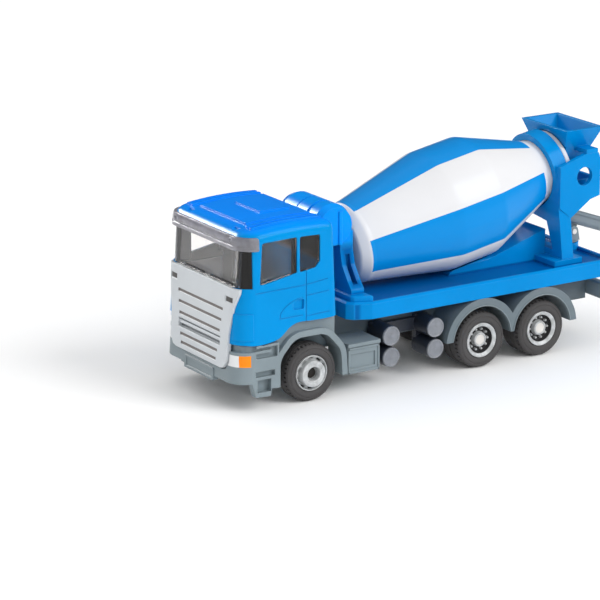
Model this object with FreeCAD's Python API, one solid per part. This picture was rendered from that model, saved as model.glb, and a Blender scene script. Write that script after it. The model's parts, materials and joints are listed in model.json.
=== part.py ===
import FreeCAD, Part
import math
import os

# A toy cement mixer: a die-cast cab on a moulded chassis, three axles that turn, a drum that turns on its
# sloping axis, and a chute that swings and tips. Millimetres. X runs across the truck and +X is its left-hand
# side, the front faces -Y, and Z is up from the floor. Pieces are drawn with Y = 0 at the front axle, and the
# finished truck is moved so that the origin is under the middle of its box.

V = FreeCAD.Vector

# Wheels and axles
wheel_diameter = 12.0
wheelbase = 42.0                # front axle to the first rear axle
bogie_spacing = 15.5            # first to second rear axle
wheel_face_x = 14.3             # outer face of every tyre
front_tyre_width = 4.2
rear_tyre_width = 6.6           # a twin tyre
rim_radius = 3.7
tyre_shoulder = 0.7
axle_radius = 1.1
front_hub_radius = 2.75
front_hub_proud = 0.8
hub_hole_radius = 1.45
running_gap = 0.08              # radial gap of every turning fit
side_gap = 0.5                  # beside a turning wheel
rim_hole_radius = 0.16
rim_hole_count = 10
lug_radius = 0.22
lug_circle = 2.45

# Cab
cab_half_width = 14.75
cab_front_y = -17.6             # at the height of cab_front_z
cab_front_z = 10.0
cab_rake = 0.061                # how far the front leans back for each millimetre of height
cab_rear_y = 5.0                # at the roof
cab_rear_rake = 0.045           # how far the back leans out for each millimetre down
cab_low_z = 3.0                 # where the hull ends, far below the skirt
cab_roof_front_z = 36.7
cab_roof_crown_z = 37.75        # highest line of the roof, without its raised panel
cab_roof_crown_y = -4.5
cab_roof_rear_z = 37.35
cab_corner_radius = 3.9
cab_roof_radius = 2.3
cab_rear_radius = 1.2
inner_roof_radius = 0.4
inner_rear_radius = 0.5
cab_wall = 1.2
cab_skirt_z = 14.1              # lower edge of the cab at the front
cab_rear_skirt_z = 17.65        # lower edge of the cab at the back
windscreen_foot_z = 25.75
windscreen_top_z = 34.6
windscreen_rear_y = -13.9
glass_wall = 0.9
pane_setback = 0.25
pane_gap = 0.04
roof_panel_rise = 0.3
line_depth = 0.14               # of the lines pressed into the doors
handle_depth = 0.5
grille_proud = 0.45
grille_recess = 0.5
grille_foot_z = 8.8
slot_height = 0.68
slot_depth = 0.16

# Sun visor
visor_rear_y = -12.9
visor_low_z = 33.45
visor_high_z = 36.05
visor_stand_off = 0.07          # between the cab and the visor
visor_proud = 0.55
visor_lip_proud = 0.65
visor_lip_z = 34.2
visor_tab_x = 8.8

# Chassis
rail_outer_x = 7.2
rail_inner_x = 5.0
pan_low_z = 8.4
pan_high_z = 9.6
rail_high_z = 15.05
stand_pad_z = 8.1               # the plain raised field under the pan
stand_pad_half = 4.5
stand_pad_y0 = 6.0
stand_pad_y1 = 21.5
rear_overhang = 19.0            # last axle to the end of the deck
bumper_low_z = 6.2
bumper_wall = 1.7
bumper_top_gap = 0.2            # under the cab's lower edge
arch_bend = 4.0                 # radius of the bends in the front wheel arch
plate_front_y = -18.0
plate_recess = 0.15
tank_stack_radius = 2.08        # the four short tanks on each side
tank_stack_gap = 0.17           # to the rear mudguard

# Deck and drum
deck_half_width = 14.5
deck_front_y = 9.8
deck_floor_z = 17.8
deck_rim_z = 18.6
deck_rim = 0.9
drum_tilt = 10.8                # degrees, rising to the rear
drum_start = V(0, 18.27, 27.23)  # on the axis, in the plane where the front cone begins
drum_head_radius = 7.25
drum_head_depth = 1.84
drum_front_radius = 8.6
drum_radius = 13.0
front_cone_length = 20.5
drum_barrel_length = 10.5
rear_cone_length = 16.0
drum_collar_radius = 6.9
drum_collar_length = 4.5
drum_wall = 1.1
pivot_radius = 1.5
drum_clearance = 0.35

# Water tank
tank_radius = 4.5
tank_half_length = 7.6
tank_y = 9.95
tank_z = 33.5

# Chute
chute_length = 19.0
chute_half_width = 3.6
chute_wall = 0.7
chute_depth = 2.8
chute_slope = 20.0              # degrees below level, at rest
swivel_pin_radius = 1.1
chute_pin_radius = 0.6

wheel_radius = wheel_diameter / 2
axle_y = [0.0, wheelbase, wheelbase + bogie_spacing]
tail_y = axle_y[2] + rear_overhang
swivel_y = tail_y - 2.4
funnel_low_z = 28.6
hopper_low_z = 37.4
hopper_high_z = 46.0

nodes = {}


def box(x0, x1, y0, y1, z0, z1):
    return Part.makeBox(x1 - x0, y1 - y0, z1 - z0, V(x0, y0, z0))


def rod_x(radius, x0, x1, y, z):
    return Part.makeCylinder(radius, x1 - x0, V(x0, y, z), V(1, 0, 0))


def face_of(points):
    return Part.Face(Part.makePolygon(points + points[:1]))


def prism_x(points, x0, x1):
    """Side outline of (y, z) points, from x0 to x1."""
    return face_of([V(x0, y, z) for y, z in points]).extrude(V(x1 - x0, 0, 0))


def prism_y(points, y0, y1):
    """Front outline of (x, z) points, from y0 to y1."""
    return face_of([V(x, y0, z) for x, z in points]).extrude(V(0, y1 - y0, 0))


def prism_z(points, z0, z1):
    """Plan outline of (x, y) points, from z0 to z1."""
    return face_of([V(x, y, z0) for x, y in points]).extrude(V(0, 0, z1 - z0))


def symmetric(points):
    """A closed outline from its +X half, listed from one end of the centre line to the other."""
    return points + [(-x, other) for x, other in reversed(points) if x > 0]


def grown(outline, distance):
    """The face of an outline in the XZ plane, moved out by a distance."""
    face = face_of([V(x, 0, z) for x, z in outline])
    return face.makeOffset2D(distance) if distance else face


def mirrored(shape):
    return shape.mirror(V(0, 0, 0), V(1, 0, 0))


def both_sides(shape):
    return shape.fuse(mirrored(shape))


def runs_along(edge, axis):
    box_sizes = (edge.BoundBox.XLength, edge.BoundBox.YLength, edge.BoundBox.ZLength)
    return all(size < 0.3 * box_sizes[axis] for i, size in enumerate(box_sizes) if i != axis)


def rounded(shape, radius, chosen):
    edges = [edge for edge in shape.Edges if chosen(edge)]
    return shape.makeFillet(radius, edges)


def fuse_all(shapes):
    return shapes[0].multiFuse(shapes[1:]).removeSplitter()


def turned_x(profile, y, z):
    """Profile of (x, radius) points turned about an axle at y and z."""
    solid = face_of([V(x, 0, r) for x, r in profile]).revolve(V(0, 0, 0), V(1, 0, 0), 360)
    return solid.translated(V(0, y, z))


def on_drum_axis(shape):
    """Stands a shape drawn along +Z from the origin on the drum's axis."""
    shape = shape.copy()
    shape.rotate(V(0, 0, 0), V(1, 0, 0), drum_tilt - 90)
    return shape.translated(drum_start)


def turned_drum(profile):
    """Profile of (radius, distance along the drum) points turned about the drum's axis."""
    return on_drum_axis(face_of([V(r, 0, s) for r, s in profile]).revolve(V(0, 0, 0), V(0, 0, 1), 360))


# Wheels

def tyre(width):
    inner_x = wheel_face_x - width
    profile = [(inner_x, rim_radius), (wheel_face_x, rim_radius),
               (wheel_face_x, wheel_radius), (inner_x, wheel_radius)]
    body = turned_x(profile, 0, 0)
    shoulders = lambda edge: edge.BoundBox.ZLength > wheel_diameter - 0.01 and edge.BoundBox.XLength < 0.01
    return rounded(body, tyre_shoulder, shoulders)


def ring_of(shape):
    """Copies of a shape evenly round the wheel's axis."""
    step = 360 / rim_hole_count
    return [shape.rotated(V(0, 0, 0), V(1, 0, 0), step * i) for i in range(rim_hole_count)]


def front_rim():
    face = wheel_face_x
    inner = face - front_tyre_width
    hub = face + front_hub_proud
    dish = face - 0.7
    profile = [(inner, axle_radius), (inner, rim_radius), (face, rim_radius), (face, rim_radius - 0.3),
               (face - 0.15, rim_radius - 0.4), (dish, rim_radius - 0.7), (dish, front_hub_radius),
               (hub - 0.25, front_hub_radius), (hub, front_hub_radius - 0.25), (hub, hub_hole_radius),
               (hub - 1.6, hub_hole_radius), (hub - 1.6, axle_radius)]
    body = turned_x(profile, 0, 0)
    hole = Part.makeCylinder(rim_hole_radius, 2.0, V(dish - 0.3, 0, front_hub_radius + 0.15), V(1, 0, 0))
    return body.cut(Part.makeCompound(ring_of(hole)))


def rear_rim():
    face = wheel_face_x
    inner = face - rear_tyre_width
    floor = face - 2.4
    hub = face - 0.85
    profile = [(inner, axle_radius), (inner, rim_radius), (face, rim_radius), (face, rim_radius - 0.3),
               (face - 0.2, rim_radius - 0.45), (floor, rim_radius - 0.6), (floor, axle_radius + 0.75),
               (hub, axle_radius + 0.35), (hub, axle_radius)]
    body = turned_x(profile, 0, 0)
    lug = Part.makeCylinder(lug_radius, 0.6, V(floor - 0.1, 0, lug_circle), V(1, 0, 0))
    return body.multiFuse(ring_of(lug))


def make_wheels():
    names = ("front", "middle", "rear")
    for name, y in zip(names, axle_y):
        front = name == "front"
        tyre_shape = tyre(front_tyre_width if front else rear_tyre_width)
        rim_shape = front_rim() if front else rear_rim()
        axle_end = wheel_face_x + front_hub_proud - 1.2 if front else wheel_face_x - 0.6
        centre = V(0, y, wheel_radius)
        nodes[name + "_axle"] = rod_x(axle_radius, -axle_end, axle_end, y, wheel_radius)
        for side, turn in (("left", 0), ("right", 180)):
            for kind, shape in (("tyre", tyre_shape), ("rim", rim_shape)):
                placed = shape.rotated(V(0, 0, 0), V(0, 0, 1), turn).translated(centre)
                nodes["{}_{}_{}".format(name, kind, side)] = placed


# Cab

def cab_front(z):
    return cab_front_y + cab_rake * (z - cab_front_z)


def cab_rear(z):
    return cab_rear_y + cab_rear_rake * (cab_roof_rear_z - z)


def cab_hull(grow):
    """The solid inside the cab's outer surface, moved out by grow, and run down past the skirt."""
    low = cab_low_z
    half = cab_half_width + grow
    high_front = cab_roof_front_z + grow
    front = V(-half, cab_front(high_front) - grow, high_front)
    crown = V(-half, cab_roof_crown_y, cab_roof_crown_z + grow)
    rear = V(-half, cab_rear_y + grow, cab_roof_rear_z + grow)
    rear_foot = V(-half, cab_rear(low) + grow, low)
    walls = Part.makePolygon([rear, rear_foot, V(-half, cab_front(low) - grow, low), front])
    side = Part.Wire([Part.Arc(front, crown, rear).toShape()] + walls.Edges)
    body = Part.Face(side).extrude(V(2 * half, 0, 0))
    upright = lambda edge: runs_along(edge, 2)
    body = rounded(body, cab_corner_radius + grow, lambda edge: upright(edge) and edge.CenterOfMass.y < 0)
    roof_radius = cab_roof_radius + grow if grow >= 0 else inner_roof_radius
    rear_radius = max(cab_rear_radius + grow, inner_rear_radius)
    fillets = [(rear_radius, lambda edge: upright(edge) and edge.CenterOfMass.y > 0),
               (roof_radius, lambda edge: edge.BoundBox.ZMin > high_front - 0.1)]
    for radius, chosen in sorted(fillets, key=lambda fillet: -fillet[0]):
        body = rounded(body, radius, chosen)
    return body


def grille_outline():
    top = windscreen_foot_z
    return symmetric([(0, top), (9.0, top - 0.05), (13.3, top - 0.15), (13.2, 24.6), (12.2, 21.7),
                      (11.1, 16.0), (10.9, 10.6), (9.9, grille_foot_z + 0.3), (8.7, grille_foot_z), (0, grille_foot_z)])


def grille_space(gap):
    face = grown(grille_outline(), gap)
    front = cab_front_y - 3
    return face.translated(V(0, front, 0)).extrude(V(0, 8, 0))


def side_windows(gap):
    """The door's window and the small one behind it, drawn in by gap."""
    door = [(-12.45, 26.25), (-11.9, 34.75), (-3.75, 34.95), (-3.75, 27.6), (-10.9, 26.35)]
    small = [(-3.15, 27.55), (0.6, 28.1), (1.65, 29.3), (1.65, 34.75), (-3.15, 34.9)]
    panes = []
    for outline in (door, small):
        face = face_of([V(10, y, z) for y, z in outline]).makeOffset2D(-gap)
        panes.append(rounded(face.extrude(V(10, 0, 0)), 0.45, lambda edge: runs_along(edge, 0)))
    return panes[0].fuse(panes[1])


def windscreen_space(gap):
    low = windscreen_foot_z - 0.05 + gap
    return box(-20, 20, -25, windscreen_rear_y - gap, low, windscreen_top_z - gap)


def skirt_cut():
    """Everything below the cab's lower edge, which rises over the front wheel."""
    edge = [V(-20, cab_skirt_z + 0.2), V(-15.5, cab_skirt_z + 0.15), V(-11.8, cab_skirt_z - 0.1),
            V(-9.6, cab_skirt_z + 0.15), V(-7.84, 14.75), V(-5.9, 16.3), V(-4.0, 17.25), V(-1.2, 17.3),
            V(1.8, 17.2), V(cab_rear_y + 2, cab_rear_skirt_z)]
    points = [V(30, p.x, p.y) for p in edge]
    curve = Part.BSplineCurve()
    curve.interpolate(points[1:])
    lower = [points[-1], V(30, cab_rear_y + 2, 0), V(30, -20, 0), points[0], points[1]]
    wire = Part.Wire([curve.toShape()] + Part.makePolygon(lower).Edges)
    return Part.Face(wire).extrude(V(-60, 0, 0))


def roof_relief():
    """The raised middle panel, the hatch and the four ribs of the roof."""
    panel = cab_hull(roof_panel_rise)
    hatch = cab_hull(2 * roof_panel_rise)
    ribs = [box(x, x + 0.8, -13.0, 3.2, 30, 45) for x in (10.1, 11.6, -10.9, -12.4)]
    pieces = [panel.common(box(-8.8, 8.8, -12.0, 3.0, 30, 45)),
              hatch.common(box(-4.6, 4.6, -6.2, 0.8, 30, 45))]
    return pieces + [panel.common(rib) for rib in ribs]


def door_lines():
    """Shut lines, the two pressed lines and the handle recess of one door."""
    skin = cab_half_width - line_depth
    shut = box(skin, 20, -1.74, -1.54, 16.5, 28.2)
    upper = prism_x([(-13.4, 24.6), (-1.8, 24.75), (3.4, 25.3), (3.4, 25.5), (-1.8, 24.95), (-13.4, 24.8)],
                    skin, 20)
    lower = prism_x([(-1.5, 22.5), (3.7, 22.8), (3.7, 23.0), (-1.5, 22.7)], skin, 20)
    sill = prism_x([(-1.4, 18.3), (3.9, 18.5), (3.9, 18.65), (-1.4, 18.45)], skin, 20)
    recess = prism_x([(-4.7, 20.1), (-4.6, 21.4), (-3.6, 22.05), (-2.1, 22.0), (-2.2, 19.95)],
                     cab_half_width - handle_depth, 20)
    recess = rounded(recess, 0.3, lambda edge: runs_along(edge, 0))
    return fuse_all([shut, upper, lower, sill, recess, scoop_line(skin)])


def scoop_line(skin):
    """The bent line pressed into the door round its handle, closed by a straight one below."""
    width = 0.2
    outline = [(-7.95, 18.6), (-7.8, 19.7), (-7.0, 20.75), (-5.5, 21.75), (-3.7, 22.35), (-2.1, 22.4),
               (-2.1, 18.6)]
    area = face_of([V(skin, y, z) for y, z in outline])
    ring = area.cut(area.makeOffset2D(-width)).extrude(V(5, 0, 0))
    return ring.cut(box(0, 30, -2.1 - 2 * width, 0, 0, 40))


def visor_tab(gap):
    return box(visor_tab_x - 0.8 - gap, visor_tab_x + 0.8 + gap, -16.2, -13.9 + gap, 35.3 - gap, 35.9)


def visor_slab(low_z, high_z):
    """Everything between two heights in front of the visor's rear ends, which are rounded."""
    slab = prism_x([(-25, low_z), (visor_rear_y, low_z), (visor_rear_y, high_z), (-25, high_z)], -20, 20)
    return rounded(slab, 0.35, lambda edge: runs_along(edge, 0) and edge.CenterOfMass.y > -20)


def visor_band():
    """The wrap-round band, which follows the cab's front and the curve of its roof."""
    band = cab_hull(visor_proud).common(visor_slab(visor_low_z, visor_high_z))
    lip = cab_hull(visor_lip_proud).common(visor_slab(visor_low_z, visor_lip_z))
    return band.fuse(lip).cut(cab_hull(visor_stand_off))


def make_cab():
    shell = fuse_all([cab_hull(0)] + roof_relief())
    fins = cab_hull(0.2).common(both_sides(box(11.9, 16, -17.2, -14.0, 15.2, 20.6)))
    shell = shell.fuse(fins)
    shell = shell.cut(cab_hull(-cab_wall))
    front_pocket = grille_space(pane_gap).cut(cab_hull(-grille_recess))
    shell = shell.cut(skirt_cut()).cut(front_pocket)
    shell = shell.cut(windscreen_space(0)).cut(both_sides(side_windows(0)))
    shell = shell.cut(both_sides(door_lines()))
    slot = visor_tab(0.1)
    slot = slot.fuse(slot.translated(V(0, 0, 1.5)))
    shell = shell.cut(both_sides(slot))
    foot = box(rail_inner_x, rail_outer_x, cab_rear_y - 2.6, cab_rear_y - 0.3, rail_high_z, 20.0)
    nodes["cab_shell"] = shell.fuse(both_sides(foot)).removeSplitter()

    lining = cab_hull(-cab_wall).cut(cab_hull(-cab_wall - glass_wall))
    lining = lining.common(box(-20, 20, -20, cab_rear_y - 2.8, windscreen_foot_z - 1.0,
                               windscreen_top_z + 0.9))
    panes = cab_hull(-pane_setback).cut(cab_hull(-cab_wall))
    panes = panes.common(both_sides(side_windows(pane_gap)).fuse(windscreen_space(pane_gap)))
    tabs = both_sides(visor_tab(pane_gap))
    nodes["window_insert"] = lining.fuse(panes).cut(tabs).removeSplitter()
    nodes["sun_visor"] = visor_band().fuse(both_sides(visor_tab(0))).removeSplitter()
    nodes["grille_panel"] = grille_panel()


def grille_panel():
    """The silver front panel, with five slots, a deep opening with a bar across it and two square marks."""
    surface = grille_proud
    panel = cab_hull(surface).cut(cab_hull(-grille_recess)).common(grille_space(0))
    slots = [(20.75, 8.7), (18.45, 8.3), (16.15, 7.9), (11.9, 7.2), (10.1, 6.85)]
    shallow = cab_hull(surface + 1).cut(cab_hull(surface - slot_depth))
    for z, half in slots:
        slot = box(-half, half, -25, 0, z - slot_height / 2, z + slot_height / 2)
        panel = panel.cut(shallow.common(slot))
    panel = panel.cut(shallow.common(both_sides(box(9.4, 12.0, -25, 0, 22.55, 23.85))))
    deep = cab_hull(surface + 1).cut(cab_hull(surface - 0.8))
    panel = panel.cut(deep.common(box(-8.1, 8.1, -25, 0, 13.2, 15.1)))
    bar = cab_hull(surface - 0.25).cut(cab_hull(surface - 0.85)).common(box(-8.1, 8.1, -25, 0, 14.0, 14.6))
    return panel.fuse(bar).removeSplitter()


# Bumper, steps and front wheel arches

def arch_face(gap):
    """The front wheel arch opening seen from the side, moved out by gap."""
    outline = [(-7.75, 2.0), (-7.7, 10.2), (-4.2, 14.05), (3.2, 14.05), (6.75, 10.0), (7.25, 2.0)]
    face = face_of([V(0, y, z) for y, z in outline])
    return face.makeOffset2D(gap, 2) if gap else face


def arch_space(gap, x0, x1):
    space = arch_face(gap).translated(V(x0, 0, 0)).extrude(V(x1 - x0, 0, 0))
    return rounded(space, arch_bend + gap, lambda edge: runs_along(edge, 0) and edge.CenterOfMass.z > 8)


def step_cuts():
    """The three openings of the front steps on one side."""
    top = box(cab_half_width - 0.9, 20, -13.4, -8.4, 11.2, 13.4)
    top = top.cut(box(cab_half_width - 1, cab_half_width - 0.3, -13.4, -9.6, 12.1, 12.7))
    middle = box(cab_half_width - 0.9, 20, -13.5, -9.0, 7.35, 8.5)
    lower = box(cab_half_width - 1.3, 20, -13.1, -9.9, 4.1, 6.75)
    return fuse_all([top, middle, lower])


def make_bumper():
    arch_lip = 1.25
    high = cab_skirt_z - bumper_top_gap
    side = [(-20, bumper_low_z), (-14.3, bumper_low_z), (-13.4, 3.2), (-10.0, 3.1), (-9.7, 4.6), (-8.0, 4.6),
            (-8.0, high), (-20, high)]
    body = cab_hull(0).common(prism_x(side, -20, 20))
    lip = arch_space(arch_lip, 9.9, cab_half_width).common(box(0, 20, -20, 20, 4.5, cab_rear_skirt_z - 0.4))
    panel_x = cab_half_width - cab_wall - 0.05
    panel = box(12.2, panel_x, -9.5, cab_rear_y - cab_wall - 0.1, 9.0, cab_rear_skirt_z + 0.6)
    panel = panel.fuse(box(12.2, panel_x, cab_rear_y - 3, cab_rear(cab_rear_skirt_z), 9.0,
                           cab_rear_skirt_z - 0.3))
    body = body.cut(cab_hull(-bumper_wall))
    shelf = box(-9.0, 9.0, cab_front_y + 1.0, -10.2, pan_high_z, pan_high_z + 1.2)
    body = fuse_all([body, both_sides(lip), both_sides(panel), shelf.common(cab_hull(-0.6))])
    body = body.cut(both_sides(arch_space(0, 5.0, 20.0)))
    body = body.cut(both_sides(skirt_top()))
    ledge = cab_hull(1).cut(cab_hull(-0.9)).common(box(-20, 20, -25, -13.3, 12.7, 20))
    pocket = grille_space(0.3).cut(cab_hull(-grille_recess - 0.5))
    body = body.cut(ledge).cut(pocket).cut(both_sides(step_cuts()))
    plate = rounded(box(-5.7, 5.7, plate_front_y, cab_front_y + 0.8, 5.2, 7.9), 0.3,
                    lambda edge: runs_along(edge, 1))
    plate = plate.cut(box(-4.9, 4.9, plate_front_y - 1, plate_front_y + plate_recess, 5.75, 7.4))
    nodes["front_bumper"] = body.fuse(plate).removeSplitter()


def skirt_top():
    """Trims the arch lip clear of the cab's own lower edge."""
    return skirt_free().common(box(cab_half_width - cab_wall - 0.02, 20, -12.0, 20, 10, 30))


def skirt_free():
    whole = box(-30, 30, -20, cab_rear_y + 2, 0, 40)
    return whole.cut(skirt_cut().translated(V(0, 0, -0.25)))


# Chassis

def make_chassis():
    rear = tail_y - 2.0
    cross_y = (-5.0, 24.0, axle_y[2] + 11.0)
    pan = box(-rail_outer_x, rail_outer_x, -15.2, rear, pan_low_z, pan_high_z)
    rails = both_sides(box(rail_inner_x, rail_outer_x, -9.9, rear, pan_high_z, rail_high_z))
    pieces = [pan, rails]
    for y in cross_y:
        pieces.append(box(-rail_inner_x, rail_inner_x, y - 1.5, y + 1.5, pan_high_z, rail_high_z))
    front_half = wheel_face_x - front_tyre_width - side_gap
    rear_half = wheel_face_x - rear_tyre_width - side_gap
    for y, half in zip(axle_y, (front_half, rear_half, rear_half)):
        block = box(-half, half, y - 2.4, y + 2.4, 3.9, pan_low_z)
        pieces.append(rounded(block, 0.8, lambda edge: runs_along(edge, 0) and edge.CenterOfMass.z < 5))
    pieces.append(box(-stand_pad_half, stand_pad_half, stand_pad_y0, stand_pad_y1, stand_pad_z, pan_low_z))
    frame = fuse_all(pieces)
    for y in axle_y:
        frame = frame.cut(rod_x(axle_radius + running_gap, -20, 20, y, wheel_radius))
    shanks = [Part.makeCylinder(0.8, 3.0, V(0, y, pan_low_z)) for y in cross_y]
    heads = [Part.makeCylinder(1.5, 0.6, V(0, y, pan_low_z - 0.6)) for y in cross_y]
    nodes["chassis_frame"] = frame.cut(Part.makeCompound(shanks))
    rivets = [rounded(head, 0.25, lambda edge: edge.CenterOfMass.z < pan_low_z - 0.5 and edge.Length < 10)
              .fuse(shank).removeSplitter() for head, shank in zip(heads, shanks)]
    nodes["rivets"] = Part.makeCompound(rivets)

    box_front, box_rear = 8.5, 16.3
    for side in ("left", "right"):
        step_box = box(rail_outer_x, 14.4, box_front, box_rear, 4.2, 10.6)
        step_box = step_box.fuse(box(rail_outer_x, 14.7, box_front, box_rear, 9.9, 10.6))
        step_box = step_box.cut(box(14.1, 15, box_front + 0.7, box_rear - 1.1, 5.3, 8.3))
        guard = mudguard()
        tanks = air_tanks()
        if side == "right":
            step_box, guard, tanks = mirrored(step_box), mirrored(guard), mirrored(tanks)
        nodes["step_box_" + side] = step_box.removeSplitter()
        nodes["mudguard_" + side] = guard
        nodes["air_tanks_" + side] = tanks

    bar = rounded(box(-13.8, 13.8, rear, tail_y, 9.3, 12.9), 0.5, lambda edge: runs_along(edge, 0))
    lamps = [box(x, x + 1.9, tail_y - 0.25, tail_y + 1, 10.2, 12.0) for x in (7.0, 9.1, 11.2)]
    nodes["rear_lamp_bar"] = bar.cut(both_sides(Part.makeCompound(lamps)))


def mudguard():
    """One side's saddle over both rear wheels, from the rail to the deck's edge."""
    inner_radius = wheel_radius + 1.35
    outer_radius = rail_high_z - wheel_radius
    rings = []
    for y in axle_y[1:]:
        rings.append(rod_x(outer_radius, rail_outer_x, deck_half_width, y, wheel_radius))
    body = fuse_all(rings).common(box(0, 20, 0, 200, wheel_radius + 0.7, rail_high_z))
    for y in axle_y[1:]:
        body = body.cut(rod_x(inner_radius, 0, 20, y, wheel_radius))
    return body


def air_tanks():
    """Four short tanks in two columns on a bracket along the rail."""
    radius = tank_stack_radius
    guard_front = wheelbase - (rail_high_z - wheel_radius)
    columns = (19.7, guard_front - radius - tank_stack_gap)
    heights = (10.4, 5.85)
    bracket_x = 8.5
    pieces = [box(rail_outer_x, bracket_x, columns[0], columns[1], 9.0, 11.6)]
    for y in columns:
        pieces.append(box(rail_outer_x, bracket_x, y - 1.5, y + 1.5, 4.6, 12.2))
        for z in heights:
            tank = rod_x(radius, bracket_x - 0.6, 13.5, y, z)
            pieces.append(rounded(tank, 0.35, lambda edge: edge.CenterOfMass.x > 13.4 and edge.Length > 10))
    return fuse_all(pieces)


# Deck, tower and tank

def deck_plan():
    return symmetric([(0, deck_front_y), (11.6, deck_front_y), (13.0, deck_front_y + 1.1),
                      (deck_half_width, deck_front_y + 4.6), (deck_half_width, tail_y - 1.0),
                      (deck_half_width - 1.0, tail_y), (0, tail_y)])


def deck_inside(z0, z1):
    plan = face_of([V(x, y, z0) for x, y in deck_plan()]).makeOffset2D(-deck_rim)
    return plan.extrude(V(0, 0, z1 - z0))


def swivel_post(radius, z0, z1):
    return Part.makeCylinder(radius, z1 - z0, V(0, swivel_y, z0))


def make_deck():
    deck = prism_z(deck_plan(), rail_high_z, deck_rim_z)
    deck = deck.makeChamfer(0.4, [e for e in deck.Edges if e.BoundBox.ZMin > deck_rim_z - 0.01])
    deck = deck.cut(deck_inside(deck_floor_z, deck_rim_z + 1))
    deck = deck.fuse(swivel_post(3.0, deck_floor_z, 19.6))
    nodes["mixer_deck"] = deck.cut(swivel_post(swivel_pin_radius + running_gap, 16.4, 30)).removeSplitter()


def water_tank_body():
    return rod_x(tank_radius, -tank_half_length, tank_half_length, tank_y, tank_z)


def make_tower():
    foot = deck_inside(deck_floor_z, 19.7).common(box(-20, 20, 11.0, 15.2, 0, 50))
    foot = rounded(foot, 0.4, lambda edge: edge.BoundBox.ZMin > 19.6)
    outline = symmetric([(0, 32.0), (6.8, 32.0), (6.8, 28.0), (7.6, 25.0), (9.6, 22.2), (12.0, 19.5),
                         (0, 19.5)])
    column = prism_y(outline, 11.6, 14.7)
    column = rounded(column, 0.8, lambda edge: runs_along(edge, 1) and edge.CenterOfMass.z < 31)
    column = column.cut(water_tank_body())
    waist = both_sides(box(5.6, 20, 12.6, 13.7, 20.6, 40)).common(prism_y(outline, 12.6, 13.7))
    hole = on_drum_axis(Part.makeCylinder(pivot_radius + running_gap, 30, V(0, 0, -20)))
    tower = foot.fuse(column.cut(both_sides(box(6.3, 20, 12.6, 13.7, 21.5, 27.2)))).fuse(
        waist.common(box(-6.5, 6.5, 0, 30, 0, 28)))
    nodes["front_tower"] = tower.cut(hole).removeSplitter()

    end_radius = tank_radius - 0.55
    taper_x = tank_half_length - 1.6
    groove = tank_radius - 0.3
    profile = [(-tank_half_length, 0), (-tank_half_length, end_radius), (-taper_x, tank_radius),
               (-1.55, tank_radius), (-1.55, groove), (-1.2, groove), (-1.2, tank_radius), (2.5, tank_radius),
               (2.5, groove), (3.3, groove), (3.3, tank_radius), (taper_x, tank_radius),
               (tank_half_length, end_radius), (tank_half_length, 0)]
    tank = turned_x(profile, tank_y, tank_z)
    rib = box(tank_half_length - 0.5, tank_half_length + 0.35, 10.6, 11.6, tank_z - 3.9, tank_z + 3.1)
    rib = rounded(rib, 0.3, lambda edge: runs_along(edge, 2) and edge.CenterOfMass.x > tank_half_length)
    tank = tank.fuse(both_sides(rib))
    tank = tank.cut(column.common(box(-20, 20, 0, 30, 0, 32)))
    nodes["water_tank"] = tank.removeSplitter()


# Drum

def drum_stations():
    """Distances along the drum's axis where its outline turns."""
    barrel = front_cone_length
    cone = barrel + drum_barrel_length
    collar = cone + rear_cone_length
    lip = collar + drum_collar_length
    return barrel, cone, collar, lip


def make_drum():
    barrel, cone, collar, lip = drum_stations()
    mouth = lip + 1.0
    seat = 1.2 - drum_head_depth
    bore = drum_collar_radius - drum_wall
    profile = [(drum_head_radius, -drum_head_depth), (drum_front_radius - 0.45, -0.9), (drum_front_radius, 0),
               (drum_radius, barrel), (drum_radius, cone), (drum_collar_radius, collar), (drum_collar_radius, lip),
               (drum_collar_radius + 0.7, lip), (drum_collar_radius + 0.7, mouth), (bore, mouth), (bore, collar),
               (drum_radius - drum_wall, cone), (drum_radius - drum_wall, barrel), (drum_front_radius - drum_wall, 1.0),
               (drum_head_radius - 1.0, 0.4), (drum_head_radius - 1.0, seat), (drum_head_radius, seat)]
    nodes["drum_shell"] = turned_drum(profile)
    head = [(0, seat), (drum_head_radius, seat), (drum_head_radius, -drum_head_depth),
            (drum_head_radius - 0.3, -drum_head_depth - 0.15), (pivot_radius, -drum_head_depth - 0.15),
            (pivot_radius, -6.4), (0, -6.4)]
    nodes["drum_head"] = turned_drum(head)


def drum_space():
    """What the turning drum sweeps, with its clearance, and the running fit on its collar."""
    barrel, cone, collar, lip = drum_stations()
    gap = drum_clearance
    run = drum_collar_radius + running_gap
    profile = [(0, -drum_head_depth - gap), (drum_front_radius + gap, -drum_head_depth - gap),
               (drum_front_radius + gap, 0), (drum_radius + gap, barrel), (drum_radius + gap, cone),
               (drum_collar_radius + gap, collar), (run, collar + 0.6), (run, lip - 0.25),
               (drum_collar_radius + 0.7 + gap, lip - 0.25), (drum_collar_radius + 0.7 + gap, lip + 1.4),
               (0, lip + 1.4)]
    return turned_drum(profile)


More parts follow.
